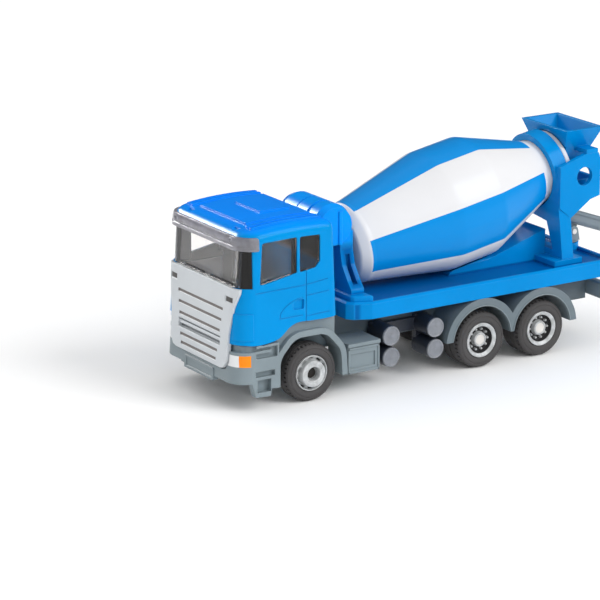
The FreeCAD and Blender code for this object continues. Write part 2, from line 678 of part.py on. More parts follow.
def make_rear_support():
    barrel, cone, collar, lip = drum_stations()
    ring_wall = 1.5
    ring = Part.makeCylinder(drum_collar_radius + ring_wall, drum_collar_length - 1.2, V(0, 0, collar + 0.6))
    ring = on_drum_axis(ring)
    centre = drum_start + V(0, math.cos(math.radians(drum_tilt)), math.sin(math.radians(drum_tilt))) * (collar + 2)
    leg_front, leg_rear = centre.y - 1.3, centre.y + 1.7
    frame = prism_y(symmetric([(0, centre.z), (drum_collar_radius + ring_wall, centre.z), (11.0, deck_floor_z + 1.0),
                               (0, deck_floor_z + 1.0)]), leg_front, leg_rear)
    window = prism_y(symmetric([(0, 27.0), (5.2, 26.4), (7.6, 20.6), (0, 20.6)]), 0, 200)
    foot = box(-11.6, 11.6, leg_front - 2.5, leg_rear + 2.0, deck_floor_z, deck_floor_z + 1.4)
    foot = rounded(foot, 0.4, lambda edge: runs_along(edge, 2))
    spine = prism_x([(40.0, deck_floor_z), (42.0, 19.6), (52.0, 20.4), (leg_front + 0.2, 24.5),
                     (leg_front + 0.2, deck_floor_z)], -4.6, 4.6)
    spine = rounded(spine, 0.5, lambda edge: runs_along(edge, 1) and edge.CenterOfMass.z > 19)
    cheek = prism_x([(leg_front, 30.0), (leg_front, centre.z + 2.5), (swivel_y - 2.4, 41.0), (swivel_y + 1.0, 41.0),
                     (swivel_y + 1.6, 39.5), (swivel_y + 1.6, 31.6), (swivel_y - 0.9, 31.0), (leg_rear, 27.5)], 8.7, 9.7)
    cheeks = both_sides(cheek.cut(rod_x(2.0, 0, 20, swivel_y - 2.6, 36.2)))
    body = fuse_all([ring, frame.cut(window), foot, spine, cheeks, cheek_ties(centre, leg_front, leg_rear)])
    nodes["rear_support"] = body.cut(drum_space()).removeSplitter()


def cheek_ties(centre, leg_front, leg_rear):
    """Joins each cheek to the side of the bearing ring and to its leg."""
    return both_sides(box(7.2, 9.7, leg_front, leg_rear, 31.0, centre.z + 2.5))


def tapered(top, bottom):
    """A solid between two level rectangles, each given as half width, y0, y1 and z."""
    wires = []
    for half, y0, y1, z in (bottom, top):
        corners = [V(-half, y0, z), V(half, y0, z), V(half, y1, z), V(-half, y1, z)]
        wires.append(Part.makePolygon(corners + corners[:1]))
    return Part.makeLoft(wires, True, True)


def make_hoppers():
    wall = 0.8
    y0, y1 = swivel_y - 6.3, swivel_y + 3.4
    low0, low1 = swivel_y - 3.9, swivel_y + 0.6
    outer = tapered((8.0, y0, y1, hopper_high_z), (3.6, low0, low1, hopper_low_z))
    inner = tapered((8.0 - wall, y0 + wall, y1 - wall, hopper_high_z + 0.01),
                    (3.6 - wall, low0 + wall, low1 - wall, hopper_low_z - 0.01))
    lug = box(4.6, 9.7, swivel_y - 2.2, swivel_y + 0.8, 41.0, 41.9)
    body = outer.fuse(both_sides(lug)).cut(inner).cut(drum_space())
    nodes["hopper"] = body.removeSplitter()

    y0, y1 = swivel_y - 2.6, swivel_y + 4.0
    low0, low1 = swivel_y - 1.8, swivel_y + 2.0
    outer = tapered((6.4, y0, y1, 34.5), (3.3, low0, low1, funnel_low_z))
    inner = tapered((6.4 - wall, y0 + wall, y1 - wall, 34.51),
                    (3.3 - wall, low0 + wall, low1 - wall, funnel_low_z - 0.01))
    lug = box(4.9, 8.7, swivel_y - 0.9, swivel_y + 1.3, 31.6, 33.0)
    body = outer.fuse(both_sides(lug)).cut(inner).cut(drum_space())
    nodes["discharge_funnel"] = body.removeSplitter()


# Chute

def make_chute():
    disc_z = 19.75
    pin_z = 22.3
    lug_half = 2.1
    ear_x0, ear_x1 = lug_half + 0.3, lug_half + 1.1
    ear_radius = chute_pin_radius + 0.6
    floor_rise = ear_radius + 0.35
    disc = swivel_post(2.9, disc_z, disc_z + 0.8)
    post = swivel_post(swivel_pin_radius, 16.8, disc_z + 0.1)
    ear = prism_x([(swivel_y - 1.6, disc_z + 0.5), (swivel_y + 1.6, disc_z + 0.5), (swivel_y + ear_radius, pin_z),
                   (swivel_y - ear_radius, pin_z)], ear_x0, ear_x1)
    ear = ear.fuse(rod_x(ear_radius, ear_x0, ear_x1, swivel_y, pin_z))
    bracket = fuse_all([disc.fuse(post), both_sides(ear)])
    pin_hole = rod_x(chute_pin_radius, -10, 10, swivel_y, pin_z)
    nodes["chute_bracket"] = bracket.cut(pin_hole).removeSplitter()
    nodes["chute_pin"] = rod_x(chute_pin_radius, -ear_x1 - 0.25, ear_x1 + 0.25, swivel_y, pin_z)

    half, wall = chute_half_width, chute_wall
    ahead = 3.3
    trough = box(-half, half, -ahead, chute_length - ahead, 0, chute_depth)
    trough = rounded(trough, 1.2, lambda edge: runs_along(edge, 1) and edge.CenterOfMass.z < 0.1)
    hollow = box(-half + wall, half - wall, -ahead - 1, chute_length, wall, chute_depth + 1)
    hollow = rounded(hollow, 0.9, lambda edge: runs_along(edge, 1) and edge.CenterOfMass.z < wall + 0.1)
    flare = both_sides(box(half - wall, half + 0.25, -ahead, chute_length - ahead, chute_depth - 0.5, chute_depth))
    trough = trough.cut(hollow).fuse(flare)
    lug = box(-lug_half, lug_half, -ear_radius, ear_radius, -floor_rise, 0.3)
    trough = trough.fuse(lug).translated(V(0, 0, floor_rise)).rotated(V(0, 0, 0), V(1, 0, 0), -chute_slope)
    trough = trough.translated(V(0, swivel_y, pin_z))
    lug = rod_x(ear_radius, -lug_half, lug_half, swivel_y, pin_z)
    bore = rod_x(chute_pin_radius + running_gap, -10, 10, swivel_y, pin_z)
    nodes["chute"] = trough.fuse(lug).cut(bore).removeSplitter()


def write_nodes():
    """Moves the truck so that the origin is under the middle of its box, and writes every piece."""
    whole = Part.makeCompound(list(nodes.values()))
    limits = whole.optimalBoundingBox(False, False)
    shift = V(0, -(limits.YMin + limits.YMax) / 2, -limits.ZMin)
    os.makedirs("parts", exist_ok=True)
    for name, shape in nodes.items():
        shape.translated(shift).exportStep("parts/" + name + ".step")
    print("front axle at y = {:.4f}".format(shift.y))
    print("size {:.2f} x {:.2f} x {:.2f}".format(limits.XLength, limits.YLength, limits.ZLength))


make_wheels()
make_cab()
make_bumper()
make_chassis()
make_deck()
make_tower()
make_drum()
make_rear_support()
make_hoppers()
make_chute()
write_nodes()
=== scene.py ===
import json
import math
import bmesh
import bpy
from mathutils import Matrix, Vector


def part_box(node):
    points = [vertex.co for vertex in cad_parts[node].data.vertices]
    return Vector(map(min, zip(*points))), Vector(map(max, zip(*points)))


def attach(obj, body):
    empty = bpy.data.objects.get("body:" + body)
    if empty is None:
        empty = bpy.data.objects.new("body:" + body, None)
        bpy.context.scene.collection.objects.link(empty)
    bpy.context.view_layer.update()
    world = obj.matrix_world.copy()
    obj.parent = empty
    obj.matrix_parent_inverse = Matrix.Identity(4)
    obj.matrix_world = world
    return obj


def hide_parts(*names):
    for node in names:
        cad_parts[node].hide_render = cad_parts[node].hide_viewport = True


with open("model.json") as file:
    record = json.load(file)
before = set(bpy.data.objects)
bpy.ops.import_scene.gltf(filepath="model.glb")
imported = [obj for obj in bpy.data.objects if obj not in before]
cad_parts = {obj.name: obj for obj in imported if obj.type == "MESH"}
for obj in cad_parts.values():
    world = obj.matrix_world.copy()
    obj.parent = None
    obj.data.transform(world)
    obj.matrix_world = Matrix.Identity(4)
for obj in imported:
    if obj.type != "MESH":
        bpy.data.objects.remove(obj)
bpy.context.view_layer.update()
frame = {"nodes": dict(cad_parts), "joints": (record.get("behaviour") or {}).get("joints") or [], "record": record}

mm = 0.001
nodes = frame["nodes"]
joints = {joint["name"]: joint for joint in frame["joints"]}


def centreOf(node):
    low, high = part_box(node)
    return (low + high) / 2


frontAxleY = centreOf("front_axle").y / mm
wheelCentreZ = centreOf("front_axle").z / mm
print("frame loaded,", len(nodes), "nodes, front axle at", round(frontAxleY, 3), "mm")


def at(x, y, z):  # millimetres, y counted from the front axle
    return Vector((x, y + frontAxleY, z)) * mm


# ---------- camera, floor and light

studio = {
    "cameraPlace": (495.2, -309.2, 188.5),
    "azimuth": 57.5,
    "elevation": 16.3,
    "lens": 179.28,
    "sensorWidth": 36,
    "clipStart": 0.01,
    "floorSize": 12.0,
    "floorParts": 8,
    "floorRoughness": 0.7,
    "floorSpecular": 0.1,
    "floorColour": (1.0, 1.0, 1.0, 1),
    "worldStrength": 0.6,
    "worldGloss": 0.05,
    "suns": {  # where from, strength, softness in degrees
        "keyLight": ((0.72, 0.42, 0.6), 1.7, 34),
        "fillLight": ((0.9, -0.35, 0.6), 0.3, 60),
        "frontLight": ((-0.45, -0.8, 0.5), 0.22, 60),
        "topLight": ((-0.15, -0.1, 1.0), 0.4, 70),
    },
    "aimHeight": 0.02,
    "stripFrom": (-0.65, -0.31, 0.36),
    "stripSize": (0.5, 0.16),
    "stripPower": 15.0,
}


def aim(lamp, place):
    lamp.location = place
    sight = Vector((0, 0, studio["aimHeight"])) - Vector(place)
    lamp.rotation_euler = sight.to_track_quat("-Z", "Y").to_euler()


def makeSun(name, place, strength, softness):
    light = bpy.data.lights.new(name, "SUN")
    light.energy = strength
    light.angle = math.radians(softness)
    lamp = bpy.data.objects.new(name, light)
    aim(lamp, place)
    bpy.context.scene.collection.objects.link(lamp)


def makeStudio():
    scene = bpy.context.scene
    camera = bpy.data.objects.new("camera", bpy.data.cameras.new("camera"))
    camera.location = at(*studio["cameraPlace"])
    camera.rotation_euler = (math.radians(90 - studio["elevation"]), 0, math.radians(studio["azimuth"]))
    camera.data.lens = studio["lens"]
    camera.data.sensor_width = studio["sensorWidth"]
    camera.data.clip_start = studio["clipStart"]
    scene.collection.objects.link(camera)
    scene.camera = camera

    bm = bmesh.new()
    parts = studio["floorParts"]
    bmesh.ops.create_grid(bm, x_segments=parts, y_segments=parts, size=studio["floorSize"] / 2)
    mesh = bpy.data.meshes.new("floor")
    bm.to_mesh(mesh)
    bm.free()
    floor = bpy.data.objects.new("floor", mesh)
    scene.collection.objects.link(floor)
    floorPaper = bpy.data.materials.new("floorPaper")
    floorPaper.use_nodes = True
    paper = floorPaper.node_tree.nodes["Principled BSDF"]
    paper.inputs["Base Color"].default_value = studio["floorColour"]
    paper.inputs["Roughness"].default_value = studio["floorRoughness"]
    paper.inputs["Specular IOR Level"].default_value = studio["floorSpecular"]
    mesh.materials.append(floorPaper)

    world = bpy.data.worlds.new("studioWorld")
    world.use_nodes = True
    tree = world.node_tree
    rays = tree.nodes.new("ShaderNodeLightPath")  # the room is darker in the paint's reflections
    strength = tree.nodes.new("ShaderNodeMapRange")
    strength.inputs["To Min"].default_value = studio["worldStrength"]
    strength.inputs["To Max"].default_value = studio["worldGloss"]
    tree.links.new(rays.outputs["Is Glossy Ray"], strength.inputs["Value"])
    tree.links.new(strength.outputs["Result"], tree.nodes["Background"].inputs["Strength"])
    tree.nodes["Background"].inputs["Color"].default_value = (1, 1, 1, 1)
    scene.world = world
    scene.view_settings.view_transform = "Standard"

    for name, (place, strength, softness) in studio["suns"].items():
        makeSun(name, place, strength, softness)
    strip = bpy.data.lights.new("stripLight", "AREA")
    strip.shape = "RECTANGLE"
    strip.size, strip.size_y = studio["stripSize"]
    strip.energy = studio["stripPower"]
    stripLamp = bpy.data.objects.new("stripLight", strip)
    stripLamp.visible_diffuse = False  # it only puts the long highlights on the paint
    aim(stripLamp, studio["stripFrom"])
    scene.collection.objects.link(stripLamp)


makeStudio()
print("studio ready")


# ---------- shared effects

def newGroup(name, inputs, outputs):
    group = bpy.data.node_groups.new(name, "ShaderNodeTree")
    for label, kind, value in inputs:
        socket = group.interface.new_socket(name=label, in_out="INPUT", socket_type=kind)
        socket.default_value = value
    for label, kind in outputs:
        group.interface.new_socket(name=label, in_out="OUTPUT", socket_type=kind)
    return group, group.nodes.new("NodeGroupInput"), group.nodes.new("NodeGroupOutput")


def link(tree, source, target):
    tree.links.new(source, target)


skinEffect = {
    "broadDetail": 3,
    "grainDetail": 2,
    "bevelSamples": 4,
    "edgeLikeness": (0.995, 0.8),  # how alike the bevelled and flat normals are where the edge wear and painted highlight start, and where they are full
    "driftSpan": (0.3, 0.7),
    "bumpDistance": 0.00002,
}


def makeSkinGroup():
    # colour that drifts a little, paler edges that are partly wear and partly painted highlight, and a fine
    # moulded grain
    group, given, result = newGroup(
        "mouldedSkin",
        [("Colour", "NodeSocketColor", (0.5, 0.5, 0.5, 1)),
         ("EdgeColour", "NodeSocketColor", (0.8, 0.8, 0.8, 1)),
         ("EdgeAmount", "NodeSocketFloat", 0.3),
         ("EdgeRadius", "NodeSocketFloat", 0.00018),
         ("Drift", "NodeSocketFloat", 0.06),
         ("DriftSize", "NodeSocketFloat", 110.0),
         ("Roughness", "NodeSocketFloat", 0.3),
         ("RoughDrift", "NodeSocketFloat", 0.08),
         ("GrainSize", "NodeSocketFloat", 3000.0),
         ("GrainHeight", "NodeSocketFloat", 0.1)],
        [("Colour", "NodeSocketColor"), ("Roughness", "NodeSocketFloat"), ("Normal", "NodeSocketVector")])
    add = group.nodes.new
    place = add("ShaderNodeTexCoord")
    broad = add("ShaderNodeTexNoise")
    broad.inputs["Detail"].default_value = skinEffect["broadDetail"]
    grain = add("ShaderNodeTexNoise")
    grain.inputs["Detail"].default_value = skinEffect["grainDetail"]
    bevel = add("ShaderNodeBevel")
    bevel.samples = skinEffect["bevelSamples"]
    flat = add("ShaderNodeNewGeometry")
    alike = add("ShaderNodeVectorMath")
    alike.operation = "DOT_PRODUCT"
    edge = add("ShaderNodeMapRange")
    unworn, worn = skinEffect["edgeLikeness"]
    edge.inputs["From Min"].default_value = unworn
    edge.inputs["From Max"].default_value = worn
    # edge mask: partly edge wear, partly a painted highlight along the edges
    wear = add("ShaderNodeMath")
    wear.operation = "MULTIPLY"
    patchy = add("ShaderNodeMath")
    patchy.operation = "MULTIPLY"
    drift = add("ShaderNodeMapRange")
    paleFrom, paleTo = skinEffect["driftSpan"]
    drift.inputs["From Min"].default_value = paleFrom
    drift.inputs["From Max"].default_value = paleTo
    low = add("ShaderNodeMath")
    low.operation = "SUBTRACT"
    low.inputs[0].default_value = 1.0
    tone = add("ShaderNodeVectorMath")
    tone.operation = "SCALE"
    wornMix = add("ShaderNodeMix")
    wornMix.data_type = "RGBA"
    rough = add("ShaderNodeMath")
    rough.operation = "MULTIPLY_ADD"
    bump = add("ShaderNodeBump")
    bump.inputs["Distance"].default_value = skinEffect["bumpDistance"]
    link(group, place.outputs["Object"], broad.inputs["Vector"])
    link(group, place.outputs["Object"], grain.inputs["Vector"])
    link(group, given.outputs["DriftSize"], broad.inputs["Scale"])
    link(group, given.outputs["GrainSize"], grain.inputs["Scale"])
    link(group, given.outputs["EdgeRadius"], bevel.inputs["Radius"])
    link(group, bevel.outputs["Normal"], alike.inputs[0])
    link(group, flat.outputs["Normal"], alike.inputs[1])
    link(group, alike.outputs["Value"], edge.inputs["Value"])
    link(group, edge.outputs["Result"], patchy.inputs[0])
    link(group, broad.outputs["Fac"], patchy.inputs[1])
    link(group, patchy.outputs["Value"], wear.inputs[0])
    link(group, given.outputs["EdgeAmount"], wear.inputs[1])
    link(group, given.outputs["Drift"], low.inputs[1])
    link(group, broad.outputs["Fac"], drift.inputs["Value"])
    link(group, low.outputs["Value"], drift.inputs["To Min"])
    drift.inputs["To Max"].default_value = 1.0
    link(group, given.outputs["Colour"], tone.inputs[0])
    link(group, drift.outputs["Result"], tone.inputs["Scale"])
    link(group, wear.outputs["Value"], wornMix.inputs["Factor"])
    link(group, tone.outputs["Vector"], wornMix.inputs["A"])
    link(group, given.outputs["EdgeColour"], wornMix.inputs["B"])
    link(group, grain.outputs["Fac"], rough.inputs[0])
    link(group, given.outputs["RoughDrift"], rough.inputs[1])
    link(group, given.outputs["Roughness"], rough.inputs[2])
    link(group, given.outputs["GrainHeight"], bump.inputs["Strength"])
    link(group, grain.outputs["Fac"], bump.inputs["Height"])
    link(group, bevel.outputs["Normal"], bump.inputs["Normal"])
    link(group, wornMix.outputs["Result"], result.inputs["Colour"])
    link(group, rough.outputs["Value"], result.inputs["Roughness"])
    link(group, bump.outputs["Normal"], result.inputs["Normal"])
    return group


skinGroup = makeSkinGroup()


def makeRegionGroup():
    # a soft-edged box and its mirror image across the truck: 1 inside, 0 outside
    group, given, result = newGroup(
        "regionBox",
        [("Low", "NodeSocketVector", (0, 0, 0)), ("High", "NodeSocketVector", (1, 1, 1)),
         ("Softness", "NodeSocketFloat", 0.0001)],
        [("Mask", "NodeSocketFloat")])
    add = group.nodes.new
    place = add("ShaderNodeTexCoord")
    parts = add("ShaderNodeSeparateXYZ")
    across = add("ShaderNodeMath")
    across.operation = "ABSOLUTE"
    folded = add("ShaderNodeCombineXYZ")
    lowGap = add("ShaderNodeVectorMath")
    lowGap.operation = "SUBTRACT"
    highGap = add("ShaderNodeVectorMath")
    highGap.operation = "SUBTRACT"
    nearest = add("ShaderNodeVectorMath")
    nearest.operation = "MINIMUM"
    three = add("ShaderNodeSeparateXYZ")
    firstTwo = add("ShaderNodeMath")
    firstTwo.operation = "MINIMUM"
    allThree = add("ShaderNodeMath")
    allThree.operation = "MINIMUM"
    ramp = add("ShaderNodeMapRange")
    ramp.inputs["From Min"].default_value = 0
    link(group, place.outputs["Object"], parts.inputs["Vector"])
    link(group, parts.outputs["X"], across.inputs[0])
    link(group, across.outputs["Value"], folded.inputs["X"])
    link(group, parts.outputs["Y"], folded.inputs["Y"])
    link(group, parts.outputs["Z"], folded.inputs["Z"])
    link(group, folded.outputs["Vector"], lowGap.inputs[0])
    link(group, given.outputs["Low"], lowGap.inputs[1])
    link(group, given.outputs["High"], highGap.inputs[0])
    link(group, folded.outputs["Vector"], highGap.inputs[1])
    link(group, lowGap.outputs["Vector"], nearest.inputs[0])
    link(group, highGap.outputs["Vector"], nearest.inputs[1])
    link(group, nearest.outputs["Vector"], three.inputs["Vector"])
    link(group, three.outputs["X"], firstTwo.inputs[0])
    link(group, three.outputs["Y"], firstTwo.inputs[1])
    link(group, firstTwo.outputs["Value"], allThree.inputs[0])
    link(group, three.outputs["Z"], allThree.inputs[1])
    link(group, allThree.outputs["Value"], ramp.inputs["Value"])
    link(group, given.outputs["Softness"], ramp.inputs["From Max"])
    link(group, ramp.outputs["Result"], result.inputs["Mask"])
    return group


regionGroup = makeRegionGroup()


def region(tree, low, high, softness=0.02):  # millimetres, y counted from the front axle
    box = tree.nodes.new("ShaderNodeGroup")
    box.node_tree = regionGroup
    box.inputs["Low"].default_value = at(*low)
    box.inputs["High"].default_value = at(*high)
    box.inputs["Softness"].default_value = softness * mm
    return box.outputs["Mask"]


def either(tree, *masks):
    joined = masks[0]
    for mask in masks[1:]:
        more = tree.nodes.new("ShaderNodeMath")
        more.operation = "MAXIMUM"
        link(tree, joined, more.inputs[0])
        link(tree, mask, more.inputs[1])
        joined = more.outputs["Value"]
    return joined


def mixColour(tree, mask, under, over):
    mix = tree.nodes.new("ShaderNodeMix")
    mix.data_type = "RGBA"
    link(tree, mask, mix.inputs["Factor"])
    for socket, colour in ((mix.inputs["A"], under), (mix.inputs["B"], over)):
        if isinstance(colour, tuple):
            socket.default_value = colour
        else:
            link(tree, colour, socket)
    return mix.outputs["Result"]


def newMaterial(name, coat=0.0, coatRoughness=0.05, specular=0.5, tint=(1, 1, 1, 1), **skin):
    material = bpy.data.materials.new(name)
    material.use_nodes = True
    tree = material.node_tree
    shader = tree.nodes["Principled BSDF"]
    shader.inputs["Coat Weight"].default_value = coat
    shader.inputs["Coat Roughness"].default_value = coatRoughness
    shader.inputs["Specular IOR Level"].default_value = specular
    shader.inputs["Specular Tint"].default_value = tint
    effect = tree.nodes.new("ShaderNodeGroup")
    effect.node_tree = skinGroup
    for label, value in skin.items():
        effect.inputs[label].default_value = value
    link(tree, effect.outputs["Colour"], shader.inputs["Base Color"])
    link(tree, effect.outputs["Roughness"], shader.inputs["Roughness"])
    link(tree, effect.outputs["Normal"], shader.inputs["Normal"])
    return material, tree, shader, effect


# ---------- finishes

cabPaint = {  # boxes are low corner, high corner, softness
    "blue": (0.0, 0.262, 0.655, 1),
    "roofBlue": (0.0, 0.25, 0.95, 1),
    # painted light: the roof takes a brighter blue than the sides
    "roof": ((-1, -30, 36.2), (30, 30, 60), 0.9),
    "lining": (0.74, 0.69, 0.66, 1),
    "inside": (((-1, -14.6, 10), (13.6, 4.2, 35.2), 0.05), ((-1, -15.4, 10), (12.9, 4.2, 34.8), 0.05),
               ((-1, -13.4, 10), (11.8, 3.6, 36.4), 0.05)),
    # painted shade: the lining darkens towards the cab's rear
    "dimLining": (0.07, 0.06, 0.058, 1),
    "dim": ((-1, -3.3, 10), (13.95, 4.4, 36.6), 0.3),
}


def cabEnamel():
    material, tree, shader, effect = newMaterial(
        "cabEnamel", coat=0.05, coatRoughness=0.04, specular=0.1, tint=(0.35, 0.7, 1, 1),
        EdgeColour=(0.1, 0.48, 0.95, 1), EdgeAmount=0.45, Drift=0.06, Roughness=0.2,
        RoughDrift=0.06, GrainSize=900.0, GrainHeight=0.10)
    inside = either(tree, *[region(tree, *zone) for zone in cabPaint["inside"]])
    # painted shade towards the rear of the cab's inside
    dim = region(tree, *cabPaint["dim"])
    roof = region(tree, *cabPaint["roof"])
    interior = mixColour(tree, dim, cabPaint["lining"], cabPaint["dimLining"])
    # painted light on the roof
    paint = mixColour(tree, roof, cabPaint["blue"], cabPaint["roofBlue"])
    link(tree, mixColour(tree, inside, paint, interior), effect.inputs["Colour"])
    return material


mixerPaint = {
    "blue": (0.0, 0.245, 0.64, 1),
    "shades": (  # painted shade on the deck's floor and the tower, a painted highlight on the tank
        ((-1, 11, 15), (13.65, 90, 18.3), 0.3, (0.0, 0.12, 0.40, 1)),
        ((-1, 11.2, 20.0), (12.0, 15.4, 29.5), 1.5, (0.0, 0.105, 0.36, 1)),
        ((-1, 5, 29.3), (9.0, 14.6, 39.0), 0.8, (0.0, 0.285, 0.88, 1)),
    ),
}


def mixerBlue():
    material, tree, shader, effect = newMaterial(
        "mixerBlue", coat=0.05, coatRoughness=0.05, specular=0.12, tint=(0.35, 0.7, 1, 1),
        EdgeColour=(0.1, 0.42, 0.88, 1), EdgeAmount=0.4, Drift=0.08,
        Roughness=0.2, RoughDrift=0.05, GrainSize=700.0, GrainHeight=0.07)
    colour = mixerPaint["blue"]
    # lays the painted shade and light over the blue
    for low, high, softness, shade in mixerPaint["shades"]:
        colour = mixColour(tree, region(tree, low, high, softness), colour, shade)
    link(tree, colour, effect.inputs["Colour"])
    return material


bumperLamps = {
    "white": (0.78, 0.79, 0.8, 1),
    "whiteLens": ((10.4, -25, 9.75), (14.62, -13.0, 12.1)),
    "orange": (0.95, 0.26, 0.0, 1),
    "orangeLens": ((13.35, -16.6, 9.75), (20, -14.5, 12.1)),
}


def greyPlastic(name, shade):
    material, tree, shader, effect = newMaterial(
        name, specular=0.3, EdgeColour=(0.5, 0.56, 0.6, 1), EdgeAmount=0.5, Drift=0.1,
        Roughness=0.38, RoughDrift=0.12, GrainSize=2600.0, GrainHeight=0.22)
    whiteLens = region(tree, *bumperLamps["whiteLens"])
    orangeLens = region(tree, *bumperLamps["orangeLens"])
    colour = mixColour(tree, whiteLens, shade, bumperLamps["white"])
    link(tree, mixColour(tree, orangeLens, colour, bumperLamps["orange"]), effect.inputs["Colour"])
    return material


def chassisPlastic():
    return newMaterial(
        "chassisPlastic", Colour=(0.11, 0.145, 0.165, 1), EdgeColour=(0.4, 0.45, 0.5, 1), EdgeAmount=0.4,
        Drift=0.1, Roughness=0.42, RoughDrift=0.12, GrainSize=2600.0, GrainHeight=0.22)[0]


tankPaint = {
    "smoke": (0.022, 0.028, 0.042, 1),
    "endShade": (0.21, 0.225, 0.26, 1),
    "end": ((13.3, -100, 0), (20, 200, 30), 0.1),
}


def tankPlastic():
    material, tree, shader, effect = newMaterial(
        "tankPlastic", EdgeColour=(0.6, 0.62, 0.7, 1), EdgeAmount=0.5, Drift=0.15,
        Roughness=0.33, RoughDrift=0.15, GrainSize=1500.0, GrainHeight=0.3)
    end = region(tree, *tankPaint["end"])
    link(tree, mixColour(tree, end, tankPaint["smoke"], tankPaint["endShade"]), effect.inputs["Colour"])
    return material


grillePaint = {
    "silver": (0.60, 0.635, 0.665, 1),
    "slotWash": (0.175, 0.16, 0.155, 1),
    "slots": ((20.75, 8.7), (18.45, 8.3), (16.15, 7.9), (11.9, 7.2), (10.1, 6.85)),  # height, half width
    "slotHalfHeight": 0.33,
    "slotOverrun": 0.02,
    "shadows": (  # above and below the wide recess, then the two marks at the top
        ((-1, -40, 14.62), (8.08, 0, 15.08), 0.02, (0.03, 0.032, 0.034, 1)),
        ((-1, -40, 13.22), (8.08, 0, 13.96), 0.02, (0.15, 0.165, 0.18, 1)),
        ((9.5, -40, 22.65), (11.9, 0, 23.75), 0.1, (0.065, 0.06, 0.058, 1)),
    ),
}


def grilleSilver():
    material, tree, shader, effect = newMaterial(
        "grilleSilver", specular=0.25, EdgeColour=(0.93, 0.95, 0.97, 1), EdgeAmount=0.6, Drift=0.05,
        Roughness=0.36, RoughDrift=0.08, GrainSize=2200.0, GrainHeight=0.15)
    colour = grillePaint["silver"]
    rise = grillePaint["slotHalfHeight"]
    for z, half in grillePaint["slots"]:
        mask = region(tree, (-1, -40, z - rise), (half + grillePaint["slotOverrun"], 0, z + rise))
        colour = mixColour(tree, mask, colour, grillePaint["slotWash"])
    for low, high, softness, shade in grillePaint["shadows"]:
        colour = mixColour(tree, region(tree, low, high, softness), colour, shade)
    link(tree, colour, effect.inputs["Colour"])
    return material


windowTint = {
    "transmission": 0.985,
    "ior": 1.4,
    "roughness": 0.03,
    "clear": (0.985, 0.97, 0.96, 1),
    # painted shade: the glass behind the door is tinted dark
    "behindTint": (0.2, 0.19, 0.185, 1),
    "behind": ((13.0, -3.3, 26), (20, 4, 36), 0.05),
    "borderTint": (0.03, 0.026, 0.024, 1),
    "borders": (  # painted shade along the corner post, the door's edge and the windscreen's foot
        ((12.85, -16.2, 25), (20, -13.7, 36), 0.1),
        ((12.6, -4.3, 26), (20, -3.7, 36), 0.05),
        ((-1, -17.4, 25), (13.5, -15.0, 25.98), 0.05),
    ),
}


def smokeGlass():
    material = bpy.data.materials.new("smokeGlass")
    material.use_nodes = True
    tree = material.node_tree
    shader = tree.nodes["Principled BSDF"]
    shader.inputs["Transmission Weight"].default_value = windowTint["transmission"]
    shader.inputs["IOR"].default_value = windowTint["ior"]
    shader.inputs["Roughness"].default_value = windowTint["roughness"]
    # painted shade on the rear pane
    behind = region(tree, *windowTint["behind"])
    borders = either(tree, *[region(tree, *zone) for zone in windowTint["borders"]])
    colour = mixColour(tree, behind, windowTint["clear"], windowTint["behindTint"])
    link(tree, mixColour(tree, borders, colour, windowTint["borderTint"]), shader.inputs["Base Color"])
    return material


visorTint = {
    "transmission": 0.55,
    "ior": 1.46,
    # the pale edges here are partly a painted highlight
    "skin": {"Colour": (0.5, 0.5, 0.55, 1), "EdgeColour": (0.85, 0.86, 0.9, 1), "EdgeAmount": 0.7,
             "Drift": 0.35, "DriftSize": 500.0, "Roughness": 0.16, "GrainHeight": 0.3},
}


def visorPlastic():
    material = bpy.data.materials.new("visorPlastic")
    material.use_nodes = True
    tree = material.node_tree
    shader = tree.nodes["Principled BSDF"]
    shader.inputs["Transmission Weight"].default_value = visorTint["transmission"]
    shader.inputs["IOR"].default_value = visorTint["ior"]
    effect = tree.nodes.new("ShaderNodeGroup")
    effect.node_tree = skinGroup
    for label, value in visorTint["skin"].items():
        effect.inputs[label].default_value = value
    for label, target in (("Colour", "Base Color"), ("Roughness", "Roughness"), ("Normal", "Normal")):
        link(tree, effect.outputs[label], shader.inputs[target])
    return material


drumPaint = {
    "blue": (0.0, 0.245, 0.66, 1),
    "white": (0.72, 0.72, 0.735, 1),
    "edges": (-163, -118, -73, -34.5, 15, 62.5, 107.5, 152),  # degrees about the drum, white from the first
    "stripesEnd": 45.5,  # millimetres behind the drum's front rim
}


